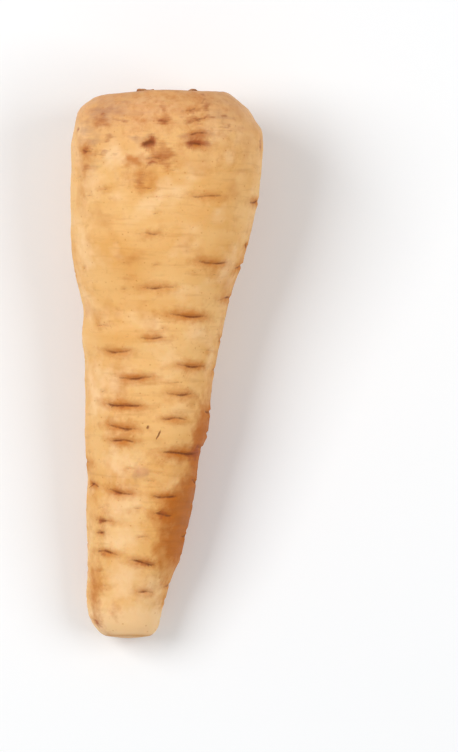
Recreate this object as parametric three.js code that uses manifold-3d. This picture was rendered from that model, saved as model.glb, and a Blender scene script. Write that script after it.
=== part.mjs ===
// A parsnip as it is sold: a stout tapering root with a wide hollow crown, its leaves and its thin tail cut off.
// It lies on its side, on its belly and its tip. +Y runs from the cut tip to the crown, +Z is up, and the origin is
// under the root's middle, on the surface that it lies on. All sizes are in millimetres.

import * as THREE from "three";
import { mergeVertices } from "three/addons/utils/BufferGeometryUtils.js";
import Module from "manifold-3d";

const wasm = await Module();
wasm.setup();

// "Down" is the distance from the crown's rim towards the tip. "Round" is the angle about the root, in degrees
// here: 0 at its right edge, 90 on top, 180 at its left edge and 270 underneath.
const LENGTH = 175;
const MIDDLE = 87.2; // how far down the origin is
const DEPTH_SHARE = 0.95; // the root's height against its width

// The root's left and right edges as seen from above: how far down, and how far across from the crown's middle.
const LEFT_EDGE = [
  [0, -31], [20, -30.8], [50, -30.6], [60, -29.1], [70, -26.9], [80, -27.2], [86, -26.4],
  [110, -26.2], [126, -25.6], [135, -26.1], [147, -25.5], [162, -25.8], [168, -25.3], [LENGTH, -22],
];
const RIGHT_EDGE = [
  [0, 31.2], [20, 31], [35, 29.3], [50, 25.8], [65, 20.9], [80, 17.4], [95, 14.7], [110, 13.2],
  [116, 10.8], [128, 9.1], [140, 6.7], [150, 4.2], [157, 1.5], [168, -1.8], [LENGTH, -3.1],
];
// How far down, and how high the root's middle line is when it rests on its belly and its tip.
const MIDDLE_HEIGHT = [[0, 33], [45, 26.75], [100, 20.1], [135, 15.85], [168, 10.7], [LENGTH, 9.9]];

// The crown: shoulders that round off to full width, the left one squarer, and a hollow inside the rim.
// The shoulders say how far down and what share of the half width, the hollow what share and how deep.
const RIM_SHARE = 0.6;
const SHOULDER_DOWN = 17;
const LEFT_SHOULDER = [
  [0, RIM_SHARE], [0.2, 0.665], [0.65, 0.73], [1.6, 0.784], [3.4, 0.862], [5, 0.905], [7, 0.937], [12.6, 0.973],
  [SHOULDER_DOWN, 1],
];
const RIGHT_SHOULDER = [
  [0, RIM_SHARE], [0.35, 0.638], [1.6, 0.7], [4.7, 0.826], [6.5, 0.871], [8.9, 0.914], [12.6, 0.986],
  [SHOULDER_DOWN, 1],
];
const HOLLOW = [[0, 1.5], [0.18, 2.4], [0.3, 4.1], [0.4, 3.7], [0.48, 1.7], [0.54, 0.5], [0.57, 0.12], [RIM_SHARE, 0]];
// How much lower the crown's left and right sides would lie than its middle, at the full half width.
const CROWN_SAG = { left: 1.7, right: 0.7 };

// The tip: cut across, with a worn edge.
const TIP = { share: 0.68, wear: 5, dome: 0.6 };

// The cut leaf bases: crescents that wrap round the heart of the crown on a spiral, the youngest innermost.
// Each pair runs from the youngest to the oldest, but for top, which is the lowest and highest height drawn.
const LEAF_BASES = {
  count: 12, start: 116, turn: 137.5, radius: [2.4, 12.4], span: [80, 34], lean: [0, 0.9],
  thickness: 1.8, foot: 6, top: [-1.4, 1.3], wornEnds: 0.8, slope: 0.4, roughness: 0.9, seed: 53315,
};

// Cross furrows on the top of the root: how far down and round their middles are, their length and depth, and how
// far they slant down the root from left to right.
const FURROWS = [
  // Round the crown.
  [6.2, 74, 8.7, 0.3, -1.8], [9.6, 70, 8, 0.35, -1.2], [10, 92, 4, 0.35, 0], [14.1, 71, 8.5, 0.45, -1],
  [17, 101, 4.5, 1.1, -0.6], [17.3, 72, 6, 0.8, 0], [19.4, 146, 7, 0.4, 1], [22, 98, 8, 0.3, 0],
  // The upper half, where they are faint.
  [34, 62, 15, 0.35, 0.6], [46, 96, 12, 0.3, -0.4], [55, 48, 16, 0.5, 0.8], [63, 88, 15, 0.4, 0.5],
  [72, 60, 17, 0.6, 1], [79, 88, 11, 0.4, 0.6], [88, 50, 14, 0.6, 0.8], [97, 58, 13, 0.5, 0.6],
  [105, 64, 12, 0.45, 0.8],
  // The lower half.
  [83.4, 121, 12, 0.5, 0.3], [91.8, 102, 13, 0.6, 0.2], [100.6, 113, 16, 0.75, 1.8], [107.7, 113, 13, 0.55, 1.4],
  [112, 114, 11, 0.6, 1.4], [116, 42, 21, 0.9, 0], [126.1, 152, 8, 0.6, 1.2], [128.4, 113, 11, 0.6, 1.6],
  [129.9, 61, 12, 0.6, 1.2], [135.7, 60, 9, 0.55, 0.6], [137.6, 131, 8.5, 0.45, 1.2], [141.4, 135, 6, 0.4, 0.3],
  [147.8, 127, 11, 0.5, 1.6], [151.2, 77, 11, 0.65, 1.4], [160.6, 64, 8, 0.45, 0.8],
];
// Furrows on the root's sides and underneath, drawn at random along the lines where its side roots grew.
const SIDE_FURROWS = {
  lines: [8, 205, 250, 292, 335], first: 26, last: 166, pitch: 11, scatter: 4, swing: 13,
  length: [8, 22], depth: [0.35, 0.8], slant: 1.2, seed: 41,
};
const FURROW_HALF_WIDTH = 1;
// The swollen skin on both sides of a furrow: its height against the furrow's depth, and how far off it stands.
const LIP = { share: 0.3, off: 2.2 };
const EDGE_FADE = 3; // furrows fade out this near to the rim and the tip

// A callus where a side root broke off.
const CALLUS = { down: 121.9, round: 90, radius: 2.1, height: 0.7 };

// The mesh: columns round the root, and rows drawn near to each furrow from the skin on both sides of it.
const COLUMNS = 60;
const ROWS = { hollow: 8, side: 73, tip: 3 };
const CROWDING = { near: 1.5, far: 4.5, amount: 3, least: 0.35 };
const MERIDIAN_STEPS = 700;
const LEAF_BASE_STEPS = 6;

const DEGREE = Math.PI / 180;

// A repeatable random number from 0 to 1.
function randomFrom(seed) {
  let state = seed;
  return () => {
    state = (state + 0x6d2b79f5) >>> 0;
    let mixed = Math.imul(state ^ (state >>> 15), 1 | state);
    mixed = (mixed + Math.imul(mixed ^ (mixed >>> 7), 61 | mixed)) ^ mixed;
    return ((mixed ^ (mixed >>> 14)) >>> 0) / 4294967296;
  };
}

const between = ([low, high], part) => low + (high - low) * part;
const bell = (x) => Math.exp(-x * x);

// The value at a place on a smooth line through [place, value] points.
function smooth(points, place) {
  const last = points.length - 1;
  let i = 0;
  while (i < last - 1 && place > points[i + 1][0]) i++;
  const slopeAt = (k) => {
    const before = points[Math.max(k - 1, 0)];
    const after = points[Math.min(k + 1, last)];
    return (after[1] - before[1]) / (after[0] - before[0]);
  };
  const [[x0, y0], [x1, y1]] = [points[i], points[i + 1]];
  const t = (place - x0) / (x1 - x0);
  const bend = t * (1 - t) * (x1 - x0) * (slopeAt(i) * (1 - t) - slopeAt(i + 1) * t);
  return between([y0, y1], t * t * (3 - 2 * t)) + bend;
}

const halfWidth = (down) => (smooth(RIGHT_EDGE, down) - smooth(LEFT_EDGE, down)) / 2;
const across = (down) => (smooth(RIGHT_EDGE, down) + smooth(LEFT_EDGE, down)) / 2;

// The share of the half width at a place on the side: less on the shoulder and round the worn tip.
function sideShare(down, round) {
  let share = 1;
  if (down < SHOULDER_DOWN) {
    const shoulders = [smooth(LEFT_SHOULDER, down), smooth(RIGHT_SHOULDER, down)];
    share = between(shoulders, (1 + Math.cos(round)) / 2);
  }
  const worn = Math.max((down - LENGTH + TIP.wear) / TIP.wear, 0);
  return share * between([TIP.share, 1], Math.sqrt(Math.max(1 - worn * worn, 0)));
}

// Slow unevenness of the section. It fades at the left and right edges, which the outline already gives.
function unevenness(down, round) {
  const squareness = -0.022 * Math.cos(4 * round) * Math.min(down / 90, 1);
  const lean = 0.02 * Math.sin(2 * round + 0.5 + down / 60);
  const lobes = 0.014 * Math.sin(3 * round + 1.2 - down / 45);
  return 1 + (squareness + lean + lobes) * Math.sin(round) ** 2;
}

function sideFurrows() {
  const { lines, first, last, pitch, scatter, swing, length, depth, slant, seed } = SIDE_FURROWS;
  const random = randomFrom(seed);
  const drawn = [];
  for (const line of lines) {
    for (let down = first + pitch * random(); down < last; down += pitch) {
      drawn.push([
        down + between([-scatter, scatter], random()),
        line + between([-swing, swing], random()),
        between(length, random()),
        between(depth, random()),
        between([-slant, slant], random()),
      ]);
    }
  }
  return drawn;
}

const furrows = [...FURROWS, ...sideFurrows()].map(([down, degrees, length, depth, slant]) => {
  const round = degrees * DEGREE;
  return { down, round, length, depth, slant, radius: halfWidth(down) * sideShare(down, round) };
});

// How a place lies to a furrow: the distance from the furrow's line, and the furrow's strength there, from 1 at
// its middle to 0 at its ends.
function nearFurrow(furrow, down, round) {
  let turn = furrow.round - round;
  turn -= 2 * Math.PI * Math.round(turn / (2 * Math.PI));
  const along = (turn * furrow.radius) / (furrow.length / 2);
  if (Math.abs(along) >= 1) return { off: 0, strength: 0 };
  return { off: down - furrow.down - (furrow.slant / 2) * along, strength: (1 - along * along) ** 1.5 };
}

// How far the skin stands out at a place: furrows with their swollen lips, and the callus.
function relief(down, round) {
  let out = 0;
  for (const furrow of furrows) {
    const { off, strength } = nearFurrow(furrow, down, round);
    const widths = Math.abs(off) / FURROW_HALF_WIDTH;
    out += furrow.depth * strength * (LIP.share * bell(widths - LIP.off) - bell(widths));
  }
  out *= Math.min(down / EDGE_FADE, (LENGTH - down) / EDGE_FADE, 1);
  const offCallus = (round - CALLUS.round * DEGREE) * halfWidth(CALLUS.down);
  return out + CALLUS.height * bell(Math.hypot(offCallus, down - CALLUS.down) / CALLUS.radius);
}

// How much lower the crown lies at a place, out towards its left and right sides.
function sag(down, round, share) {
  const aside = share * Math.cos(round);
  const most = aside < 0 ? CROWN_SAG.left : CROWN_SAG.right;
  return most * Math.abs(aside) ** 1.5 * Math.max(1 - down / SHOULDER_DOWN, 0);
}

// A point of the root: how far down and round, its share of the half width, and how far it stands out of that.
function rootPoint(down, round, share, out = 0) {
  const reach = halfWidth(down) * share * unevenness(down, round) + out;
  const height = smooth(MIDDLE_HEIGHT, down) + DEPTH_SHARE * reach * Math.sin(round);
  const y = MIDDLE - down - sag(down, round, share);
  return new THREE.Vector3(across(down) + reach * Math.cos(round), y, Math.max(height, 0));
}

// How far down each row of one column is. Rows share out the way down the side, closer where a furrow crosses.
function sideRows(round) {
  const passed = [0];
  let before = 0;
  for (let step = 0; step <= MERIDIAN_STEPS; step++) {
    const down = (LENGTH * step) / MERIDIAN_STEPS;
    const reach = halfWidth(down) * sideShare(down, round);
    if (step > 0) {
      let crowd = 1;
      for (const furrow of furrows) {
        const { off, strength } = nearFurrow(furrow, down, round);
        const { near, far, amount } = CROWDING;
        crowd += amount * strength * (bell(off / near) - (near / far) * bell(off / far));
      }
      const stride = Math.hypot(LENGTH / MERIDIAN_STEPS, reach - before);
      passed.push(passed.at(-1) + stride * Math.max(crowd, CROWDING.least));
    }
    before = reach;
  }
  const rows = [];
  let step = 0;
  for (let row = 0; row <= ROWS.side; row++) {
    const wanted = (passed.at(-1) * row) / ROWS.side;
    while (step < MERIDIAN_STEPS - 1 && passed[step + 1] < wanted) step++;
    const part = (wanted - passed[step]) / (passed[step + 1] - passed[step]);
    rows.push((LENGTH * (step + part)) / MERIDIAN_STEPS);
  }
  return rows;
}

// One column of the root's points: out from the middle of the hollow, down the side, and in over the cut tip.
function meridian(round) {
  const points = [];
  for (let row = 0; row < ROWS.hollow; row++) {
    const share = (RIM_SHARE * row) / ROWS.hollow;
    const point = rootPoint(0, round, share);
    point.y -= smooth(HOLLOW, share);
    points.push(point);
  }
  for (const down of sideRows(round)) {
    points.push(rootPoint(down, round, sideShare(down, round), relief(down, round)));
  }
  for (let row = ROWS.tip - 1; row >= 0; row--) {
    const share = row / ROWS.tip;
    const point = rootPoint(LENGTH, round, TIP.share * share);
    point.y -= TIP.dome * Math.cos((share * Math.PI) / 2);
    points.push(point);
  }
  return points;
}

// A closed solid of a three.js geometry, each of its points moved to where place(point, number) says.
function solidOf(geometry, place) {
  const points = geometry.getAttribute("position");
  for (let i = 0; i < points.count; i++) {
    const { x, y, z } = place(new THREE.Vector3().fromBufferAttribute(points, i), i);
    points.setXYZ(i, x, y, z);
  }
  geometry.deleteAttribute("normal");
  geometry.deleteAttribute("uv");
  const merged = mergeVertices(geometry);
  const corners = merged.getIndex().array;
  const triVerts = [];
  for (let i = 0; i < corners.length; i += 3) {
    const [a, b, c] = corners.slice(i, i + 3);
    if (a !== b && b !== c && c !== a) triVerts.push(a, b, c);
  }
  const vertProperties = merged.getAttribute("position").array;
  return new wasm.Manifold(new wasm.Mesh({ numProp: 3, vertProperties, triVerts: new Uint32Array(triVerts) }));
}

// The root without its leaf bases: a lathe whose columns are moved to the root's own meridians.
function bareRoot() {
  const columns = [];
  for (let column = 0; column <= COLUMNS; column++) {
    columns.push(meridian((2 * Math.PI * (column % COLUMNS)) / COLUMNS));
  }
  const rings = columns[0].length;
  const profile = columns[0].map((point) => new THREE.Vector2(point.x, point.y));
  const lathe = new THREE.LatheGeometry(profile, COLUMNS);
  return solidOf(lathe, (_, i) => columns[Math.floor(i / rings)][i % rings]);
}

// One cut leaf base: a box bent round the heart of the crown, worn thin and low at its two ends.
function leafBase(number, random) {
  const { count, start, turn, radius, span, lean, thickness, foot, top, wornEnds, slope, roughness } = LEAF_BASES;
  const age = number / (count - 1);
  const height = between(top, random());
  const ragged = [];
  for (let step = 0; step <= LEAF_BASE_STEPS; step++) ragged.push(roughness * (random() - 0.5));
  const box = new THREE.BoxGeometry(2, 2, thickness, LEAF_BASE_STEPS, 1, 1);
  return solidOf(box, ({ x: along, y: side, z: outward }) => {
    const worn = along * along;
    const isTop = side > 0;
    const reach = between(radius, age) + outward * (1 - 0.7 * worn) + (isTop ? between(lean, age) : 0);
    const round = (start + turn * number - (along * between(span, age)) / 2) * DEGREE;
    const point = rootPoint(0, round, reach / halfWidth(0));
    const step = Math.round(((along + 1) / 2) * LEAF_BASE_STEPS);
    const topHeight = height + ragged[step] - wornEnds * worn - (outward > 0 ? slope : 0);
    point.y += isTop ? topHeight : -foot;
    return point;
  });
}

function wholeRoot() {
  const random = randomFrom(LEAF_BASES.seed);
  let root = bareRoot();
  for (let number = 0; number < LEAF_BASES.count; number++) root = root.add(leafBase(number, random));
  const { vertProperties, triVerts } = root.getMesh();
  const geometry = new THREE.BufferGeometry();
  geometry.setAttribute("position", new THREE.BufferAttribute(vertProperties, 3));
  geometry.setIndex(new THREE.BufferAttribute(triVerts, 1));
  return geometry;
}

const skin = new THREE.MeshStandardMaterial({ color: 0xf0c488, roughness: 0.5, metalness: 0 });
const root = new THREE.Mesh(wholeRoot(), skin);
root.name = "parsnip_root";

const parsnip = new THREE.Group();
parsnip.add(root);

export default parsnip;
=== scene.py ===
"""A parsnip as it is sold, lying on its side: its skin, its cut leaf bases and its broken rootlets.

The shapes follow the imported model, in millimetres until a mesh is made. "Down" is the distance from the
crown's rim towards the tip. "Round" is the angle about the root: 0 at its right edge, 90 degrees on top, 180
at its left edge and 270 underneath, seen from above with the crown at the far end.
"""

import math

import bpy
import numpy as np
from bpy.props import FloatProperty, FloatVectorProperty, IntProperty, PointerProperty
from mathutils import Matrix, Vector


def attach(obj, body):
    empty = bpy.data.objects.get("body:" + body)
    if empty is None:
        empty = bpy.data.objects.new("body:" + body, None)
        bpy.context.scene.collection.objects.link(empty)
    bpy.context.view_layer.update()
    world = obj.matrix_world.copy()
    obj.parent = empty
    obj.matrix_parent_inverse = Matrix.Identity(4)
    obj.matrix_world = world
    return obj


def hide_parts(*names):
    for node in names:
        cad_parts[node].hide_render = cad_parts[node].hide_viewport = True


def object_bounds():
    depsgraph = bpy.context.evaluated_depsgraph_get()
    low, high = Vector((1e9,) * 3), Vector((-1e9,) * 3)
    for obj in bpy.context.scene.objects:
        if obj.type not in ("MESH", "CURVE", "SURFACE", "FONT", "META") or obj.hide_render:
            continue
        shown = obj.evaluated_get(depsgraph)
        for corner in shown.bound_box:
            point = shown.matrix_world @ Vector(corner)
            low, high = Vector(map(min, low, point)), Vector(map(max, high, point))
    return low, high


bl_info = {
    "name": "Parsnip",
    "version": (1, 0, 0),
    "blender": (4, 5, 0),
    "location": "View3D > Sidebar > Parsnip",
    "description": "Makes a parsnip with furrowed skin, cut leaf bases and broken rootlets",
    "category": "Object",
}

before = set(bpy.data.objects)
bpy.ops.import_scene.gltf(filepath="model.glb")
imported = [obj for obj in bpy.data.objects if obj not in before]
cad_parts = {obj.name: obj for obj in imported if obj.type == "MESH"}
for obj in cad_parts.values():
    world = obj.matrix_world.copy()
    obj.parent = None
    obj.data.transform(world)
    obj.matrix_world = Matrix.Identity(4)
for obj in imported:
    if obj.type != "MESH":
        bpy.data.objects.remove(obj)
CAD_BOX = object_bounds()

MM = 0.001
DEGREE = math.pi / 180

# The root's form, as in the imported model.
LENGTH = 175
MIDDLE = 87.2  # how far down the origin is
DEPTH_SHARE = 0.95  # the root's height against its width
LEFT_EDGE = [
    [0, -31], [20, -30.8], [50, -30.6], [60, -29.1], [70, -26.9], [80, -27.2], [86, -26.4],
    [110, -26.2], [126, -25.6], [135, -26.1], [147, -25.5], [162, -25.8], [168, -25.3], [LENGTH, -22],
]
RIGHT_EDGE = [
    [0, 31.2], [20, 31], [35, 29.3], [50, 25.8], [65, 20.9], [80, 17.4], [95, 14.7], [110, 13.2],
    [116, 10.8], [128, 9.1], [140, 6.7], [150, 4.2], [157, 1.5], [168, -1.8], [LENGTH, -3.1],
]
MIDDLE_HEIGHT = [[0, 33], [45, 26.75], [100, 20.1], [135, 15.85], [168, 10.7], [LENGTH, 9.9]]
RIM_SHARE = 0.6
SHOULDER_DOWN = 17
LEFT_SHOULDER = [
    [0, RIM_SHARE], [0.2, 0.665], [0.65, 0.73], [1.6, 0.784], [3.4, 0.862], [5, 0.905], [7, 0.937],
    [12.6, 0.973], [SHOULDER_DOWN, 1],
]
RIGHT_SHOULDER = [
    [0, RIM_SHARE], [0.35, 0.638], [1.6, 0.7], [4.7, 0.826], [6.5, 0.871], [8.9, 0.914], [12.6, 0.986],
    [SHOULDER_DOWN, 1],
]
# The hollow crown: how deep it is at some shares of the half width, the share inside which it is all brown,
# how brown its rim is, and how far past the rim the brown and the darker skin of the crown reach.
HOLLOW = [
    [0, 1.5], [0.18, 2.4], [0.3, 4.1], [0.4, 3.7], [0.48, 1.7], [0.54, 0.5], [0.57, 0.12], [RIM_SHARE, 0],
]
HOLLOW_BROWN, RIM_BROWN, RIM_REACH, CROWN_REACH = 0.42, 0.12, 1.4, 34
LEFT_SAG, RIGHT_SAG = 1.7, 0.7  # how much lower the crown's two sides would lie at the full half width
TIP_SHARE, TIP_WEAR, TIP_DOME = 0.68, 5, 0.6
CUT_EDGE = 0.9  # how far over the tip's edge the look of cut flesh reaches

# Cross furrows on top: how far down and round, length, depth, and how far they slant down from left to right.
# A sixth number is half the width, for a pit.
FURROWS = [
    # Round the crown.
    [6.2, 74, 8.7, 0.3, -1.8], [9.6, 70, 8, 0.35, -1.2], [10, 92, 4, 0.35, 0], [14.1, 71, 8.5, 0.45, -1],
    [17, 101, 4.5, 1.1, -0.6, 1.6], [17.3, 72, 6, 0.8, 0], [19.4, 146, 7, 0.4, 1], [22, 98, 8, 0.3, 0],
    # The upper half, where they are faint.
    [34, 62, 15, 0.35, 0.6], [46, 96, 12, 0.3, -0.4], [55, 48, 16, 0.5, 0.8], [63, 88, 15, 0.4, 0.5],
    [72, 60, 17, 0.6, 1], [79, 88, 11, 0.4, 0.6], [88, 50, 14, 0.6, 0.8], [97, 58, 13, 0.5, 0.6],
    [105, 64, 12, 0.45, 0.8],
    # The lower half.
    [83.4, 121, 12, 0.5, 0.3], [91.8, 102, 13, 0.6, 0.2], [100.6, 113, 16, 0.75, 1.8],
    [107.7, 113, 13, 0.55, 1.4], [112, 114, 11, 0.6, 1.4], [116, 42, 21, 0.9, 0], [126.1, 152, 8, 0.6, 1.2],
    [128.4, 113, 11, 0.6, 1.6], [129.9, 61, 12, 0.6, 1.2], [135.7, 60, 9, 0.55, 0.6],
    [137.6, 131, 8.5, 0.45, 1.2], [141.4, 135, 6, 0.4, 0.3], [147.8, 127, 11, 0.5, 1.6],
    [151.2, 77, 11, 0.65, 1.4], [160.6, 64, 8, 0.45, 0.8],
]
# Furrows on the sides and underneath, along the lines where side roots grew.
SIDE_LINES = (8, 205, 250, 292, 335)
SIDE_FIRST, SIDE_LAST, SIDE_PITCH, SIDE_SCATTER, SIDE_SWING = 26, 166, 11, 4, 13
SIDE_LENGTH, SIDE_DEPTH, SIDE_SLANT, SIDE_SEED = (8, 22), (0.35, 0.8), 1.2, 41
# Fine furrows that only the skin shows, and how near to another furrow there is none.
FINE_DOWN, FINE_LENGTH, FINE_DEPTH, FINE_GAP = (24, 170), (3, 11), (0.08, 0.26), 2.4
FURROW_HALF_WIDTH, FINE_HALF_WIDTH = 0.7, 0.4
EDGE_FADE = 3  # furrows fade out this near to the rim and the tip
# How many of its half widths a furrow's groove, its swollen lips and its dark crease reach, and the depth
# from which it is fully dark.
GROOVE_REACH, LIP_REACH, CREASE_REACH, DARK_DEPTH = 1.9, 5.0, 0.85, 0.6
# A furrow's stain: its share of the furrow's length, its least width, and the share of the length that is
# added to that.
STAIN_LENGTH, STAIN_LEAST, STAIN_SPREAD = 1.1, 2.4, 0.1
CALLUS_DOWN, CALLUS_ROUND, CALLUS_RADIUS, CALLUS_HEIGHT = 121.9, 90, 2.1, 0.7

# Leaf bases on a spiral. Each pair runs from the youngest to the oldest, but for LEAF_TOP, whose heights are
# drawn from.
LEAF_COUNT, LEAF_START, LEAF_TURN, LEAF_SEED = 12, 116, 137.5, 53315
LEAF_RADIUS, LEAF_SPAN, LEAF_LEAN, LEAF_TOP = (2.4, 12.4), (80, 34), (0, 0.9), (-1.4, 1.3)
LEAF_THICKNESS, LEAF_FOOT, LEAF_STEPS, LEAF_ROUGHNESS = 1.8, 6, 6, 0.9

# Marks on the skin: how far down and round, how wide round and along the root, and how strong. A sixth number
# is how steeply a mark climbs towards the crown from left to right.
RUST_MARKS = [
    # Round the crown: a spot with a trail above it, and streaks that climb to the right.
    [9.9, 92, 3.8, 2.2, 1], [6.1, 92, 2.6, 5.4, 0.4],
    [7, 73, 6, 1.3, 0.85, 0.22], [9.6, 71, 6, 1.5, 1, 0.1], [5.1, 62, 7, 1.4, 0.9, 0.3],
    [8.7, 62, 5, 1.3, 0.75, 0.3], [3.5, 61, 3.5, 1, 0.7], [17.1, 73, 6, 1.8, 1.3],
    [16.6, 67, 4, 1.2, 0.9, 0.4],
    # The pit and the scar beside it.
    [16.9, 100, 3.7, 3.2, 1.6, 0.3], [20.5, 91, 7, 8, 0.6], [23.4, 99, 2.4, 1.5, 1.1],
    # The rest of the crown.
    [6.7, 134, 2, 1.2, 0.8], [10, 135, 7, 3.5, 0.5], [9.5, 120, 5, 1.2, 0.85], [15.1, 126, 6, 1.8, 0.7],
    [19, 148, 6, 1.4, 1, 0.1], [20.3, 130, 12, 1.4, 0.5, 0.1], [11.6, 161, 1.7, 1.3, 1.1],
    [25, 147, 6, 2, 0.6], [29, 106, 6, 3, 0.8], [12, 52, 6, 1.6, 0.5, 0.3], [8.5, 49, 2.2, 1.4, 0.9],
    [0.9, 58, 2.4, 1, 0.9], [17.2, 15, 4, 3.4, 0.7],
    # On the lower half.
    [115.8, 25, 9, 4.4, 1.4], [135.7, 60, 3.4, 2.4, 0.9], [137.6, 134, 3, 2, 0.9],
    [141.4, 135, 2.6, 1.8, 0.8], [170.9, 145, 3.4, 2.6, 0.8],
    [128.4, 116, 5, 1.6, 0.6], [147.8, 130, 5, 1.4, 0.6], [151.2, 74, 6, 1.6, 0.6], [100.6, 110, 9, 1.6, 0.6],
]
# A dark dot, and a short stroke beside it.
NICK_MARKS = [[107.6, 89, 1.2, 1, 1], [110.1, 78, 1.3, 1.3, 1.2, 2.2]]
DUSKY_MARKS = [
    [5.8, 128, 18, 6, 1], [6.7, 134, 9, 5, 1.1], [6, 140, 10, 7, 0.8], [9.3, 53, 9, 5, 0.6],
    [16, 138, 9, 3, 0.6], [14, 71, 10, 1.8, 1.1, 0.12], [15.6, 71, 10, 5, 0.8, 0.1],
    # The first mark below, at the left of the pit, is painted shade.
    [16, 108, 5, 2.6, 0.9], [12, 150, 8, 6, 0.6], [24, 140, 9, 7, 0.5],
    # Beside the callus.
    [121.9, 96, 3, 8, 0.7], [121.9, 84, 2, 5, 0.6],
]
AMBER_MARKS = [
    # Round the crown.
    [11, 98, 26, 9, 0.4], [3, 74, 30, 5, 0.3], [15.8, 70, 14, 7, 0.5, 0.2], [22.7, 109, 8, 4, 0.95],
    [9.6, 106, 5, 1.8, 0.8], [7.5, 107, 1.4, 1, 1], [20, 93, 10, 9, 0.8], [10, 135, 9, 5, 0.7],
    [7, 92, 3.6, 8, 0.5], [28, 108, 10, 7, 0.6], [17, 12, 12, 9, 0.5], [19, 56, 24, 16, 0.3],
    [19.5, 146, 12, 6, 0.5],
    # On the lower half.
    [116, 40, 24, 4, 0.8], [110, 25, 9, 18, 1.1], [119, 62, 26, 3, 0.5], [136, 60, 14, 5, 0.7],
    [161, 143, 7, 22, 0.9], [167, 106, 5, 7, 0.5],
    # On the sides and underneath.
    [70, 0, 16, 60, 0.6], [60, 250, 30, 40, 0.7], [130, 290, 20, 30, 0.7], [90, 205, 12, 50, 0.6],
    [146, 224, 16, 26, 0.7], [36, 300, 26, 20, 0.6],
]
# Pale patches of skin. Those down the lower half and over the tip are painted highlight; the broad one over
# the tip brightens its sloping end, which the lamps light less.
PALE_SKIN_AND_HIGHLIGHT_MARKS = [
    [21, 124, 7.5, 8, 1.2], [30, 140, 14, 12, 0.6], [119, 112, 14, 10, 0.8], [133, 108, 16, 12, 0.8],
    [143, 100, 12, 10, 0.7], [157, 98, 12, 14, 0.9], [169, 122, 12, 14, 0.8], [169, 70, 14, 14, 0.9],
    [50, 150, 14, 30, 0.5], [95, 140, 14, 24, 0.6], [160, 60, 14, 10, 0.7], [171, 92, 50, 13, 1.3],
]
# The flank on the right of the lower half, partly amber stain and partly painted shade, with painted warm
# reflection round it: how far round it reaches, in degrees, at some places down.
FLANK_EDGE = [
    [84, 26], [96, 33], [106, 40], [111, 42], [115.5, 34], [119.5, 37], [124, 46], [129, 62], [133, 68],
    [137, 70], [142, 65], [147.5, 70], [152, 60], [157, 44], [162, 25], [LENGTH, 0],
]
# Its last place down, where it ends underneath, in degrees, and how many degrees its upper edge and that of
# the warm zone of stain and painted reflection round it are blurred.
FLANK_LAST, FLANK_UNDER, FLANK_BLUR, WARM_BLUR = 166, -62, 12, 70
# How far it takes to grow strong: in millimetres from its start and its end, and in degrees from underneath
# and from its upper edge, where it is as strong as FAINTEST.
START_FADE, END_FADE, UNDER_FADE, EDGE_FADE_DEGREES, FAINTEST = 24, 22, 60, 45, 0.6

# Waves that make marks uneven: how high, how many round the root, radians in a millimetre down, and phase.
# What the second ones move marks by round the root is in millimetres at WAVE_RADIUS.
DOWN_WAVES = ((0.45, 29, 0.9, 0), (0.25, 53, -1.7, 2))
ROUND_WAVES = ((0.6, 23, 1.1, 0), (0.35, -41, 2.7, 1))
WAVE_RADIUS = 30

# The photograph's frame, for the camera.
IMAGE = (458, 752)
MM_PER_PIXEL = 0.32
CROWN_PIXEL = (166.5, 91)  # the middle of the crown's rim
FOCUS_HEIGHT = 36  # how high above the floor a pixel is exactly MM_PER_PIXEL wide
SENSOR = 36


def linear(colour):
    """An sRGB hex colour as linear red, green and blue."""
    shares = (int(colour[i : i + 2], 16) / 255 for i in (1, 3, 5))
    return tuple(s / 12.92 if s <= 0.04045 else ((s + 0.055) / 1.055) ** 2.4 for s in shares)


def random_from(seed):
    """Repeatable random numbers from 0 to 1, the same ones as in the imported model's source."""
    word = 0xFFFFFFFF
    state = seed
    while True:
        state = (state + 0x6D2B79F5) & word
        mixed = ((state ^ (state >> 15)) * (1 | state)) & word
        mixed = ((mixed + (((mixed ^ (mixed >> 7)) * (61 | mixed)) & word)) & word) ^ mixed
        yield (mixed ^ (mixed >> 14)) / 4294967296


def between(pair, part):
    return pair[0] + (pair[1] - pair[0]) * part


def bell(x):
    return np.exp(-x * x)


def smooth(points, place):
    """The values at some places on a smooth line through [place, value] points."""
    at, value = np.array(points, float).T
    slope = np.gradient(value, at)
    slope[1:-1] = (value[2:] - value[:-2]) / (at[2:] - at[:-2])
    i = np.clip(np.searchsorted(at, place) - 1, 0, len(at) - 2)
    span = at[i + 1] - at[i]
    t = (place - at[i]) / span
    bend = t * (1 - t) * span * (slope[i] * (1 - t) - slope[i + 1] * t)
    return value[i] + (value[i + 1] - value[i]) * t * t * (3 - 2 * t) + bend


def half_width(down):
    return (smooth(RIGHT_EDGE, down) - smooth(LEFT_EDGE, down)) / 2


def side_share(down, around):
    """The share of the half width at places on the side: less on the shoulder and round the worn tip."""
    shoulders = smooth(LEFT_SHOULDER, down), smooth(RIGHT_SHOULDER, down)
    share = np.where(down < SHOULDER_DOWN, between(shoulders, (1 + np.cos(around)) / 2), 1)
    worn = np.clip((down - LENGTH + TIP_WEAR) / TIP_WEAR, 0, 1)
    return share * between((TIP_SHARE, 1), np.sqrt(1 - worn * worn))


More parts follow.
